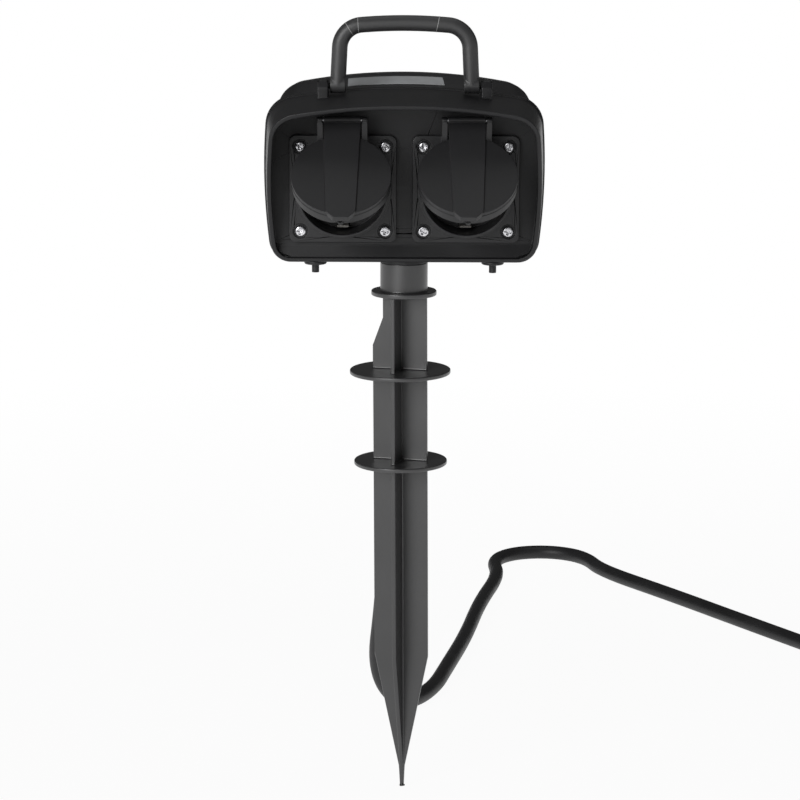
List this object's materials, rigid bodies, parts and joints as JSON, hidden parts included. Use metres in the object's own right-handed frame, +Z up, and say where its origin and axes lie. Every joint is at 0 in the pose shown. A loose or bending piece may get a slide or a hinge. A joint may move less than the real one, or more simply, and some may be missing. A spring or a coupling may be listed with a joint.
{
  "type": "garden socket spike",
  "caption": "Hooded outdoor socket head with flap lids and a carry handle, on a finned ground spike, with a rubber mains cord and plug.",
  "frame": {"origin": "tip of the ground spike", "axes": "+Z up along the spike, the sockets face -Y, +X to the right of someone who faces them"},
  "size_m": [0.3794, 0.4957, 0.3622],
  "materials": {
    "head_plastic": "moulded plastic, satin",
    "lid_plastic": "moulded plastic, satin",
    "handle_plastic": "moulded plastic, satin",
    "spike_plastic": "moulded plastic, satin",
    "socket_plastic": "moulded plastic, satin",
    "gasket_rubber": "matt",
    "cord_rubber": "matt",
    "plug_rubber": "matt",
    "steel": "bright zinc",
    "brass": "plain",
    "label": "matt film",
    "live_insulation": "plain",
    "neutral_insulation": "plain",
    "earth_insulation": "green and yellow"
  },
  "bodies": {
    "spike": {"ground_spike": "spike_plastic"},
    "head": {"spike_sleeve": "head_plastic", "front_shell": "head_plastic", "rear_shell": "head_plastic", "housing_gasket": "gasket_rubber", "shell_screws": "steel", "rating_label": "label", "cable_gland": "head_plastic", "strain_relief": "cord_rubber", "cord_inner_end": "cord_rubber", "cord_clamp": "socket_plastic", "clamp_screws": "steel", "live_wires": "live_insulation", "neutral_wires": "neutral_insulation", "earth_wires": "earth_insulation", "mains_cord": "cord_rubber", "cord_coil": "cord_rubber", "plug_relief": "plug_rubber", "plug_body": "plug_rubber", "plug_pins": "brass", "plug_earth_strips": "steel", "socket_flange_left": "socket_plastic", "flange_gasket_left": "gasket_rubber", "flange_screws_left": "steel", "socket_insert_left": "socket_plastic", "earth_clips_left": "steel", "pin_contacts_left": "brass", "hinge_pin_left": "steel", "lid_spring_left": "steel", "drain_spout_left": "head_plastic", "socket_flange_right": "socket_plastic", "flange_gasket_right": "gasket_rubber", "flange_screws_right": "steel", "socket_insert_right": "socket_plastic", "earth_clips_right": "steel", "pin_contacts_right": "brass", "hinge_pin_right": "steel", "lid_spring_right": "steel", "drain_spout_right": "head_plastic"},
    "left_lid": {"socket_lid_left": "lid_plastic", "lid_seal_left": "gasket_rubber"},
    "right_lid": {"socket_lid_right": "lid_plastic", "lid_seal_right": "gasket_rubber"},
    "handle": {"carry_handle": "handle_plastic"}
  },
  "joints": [
    {"name": "head_turn", "type": "hinge", "parent": "spike", "child": "head", "pos_m": [0, 0, 0.25], "axis": [0, 0, 1], "continuous": true},
    {"name": "left_lid_hinge", "type": "hinge", "parent": "head", "child": "left_lid", "pos_m": [-0.0276, -0.025, 0.317], "axis": [-1, 0, 0], "range_deg": [-46, 44], "stiffness_Nm_per_rad": 0.05, "springref_deg": 0.86},
    {"name": "right_lid_hinge", "type": "hinge", "parent": "head", "child": "right_lid", "pos_m": [0.0276, -0.025, 0.317], "axis": [-1, 0, 0], "range_deg": [-46, 44], "stiffness_Nm_per_rad": 0.05, "springref_deg": 0.86},
    {"name": "handle_swing", "type": "hinge", "parent": "head", "child": "handle", "pos_m": [0, -0.012, 0.3311], "axis": [-1, 0, 0], "range_deg": [-88, 72]}
  ]
}
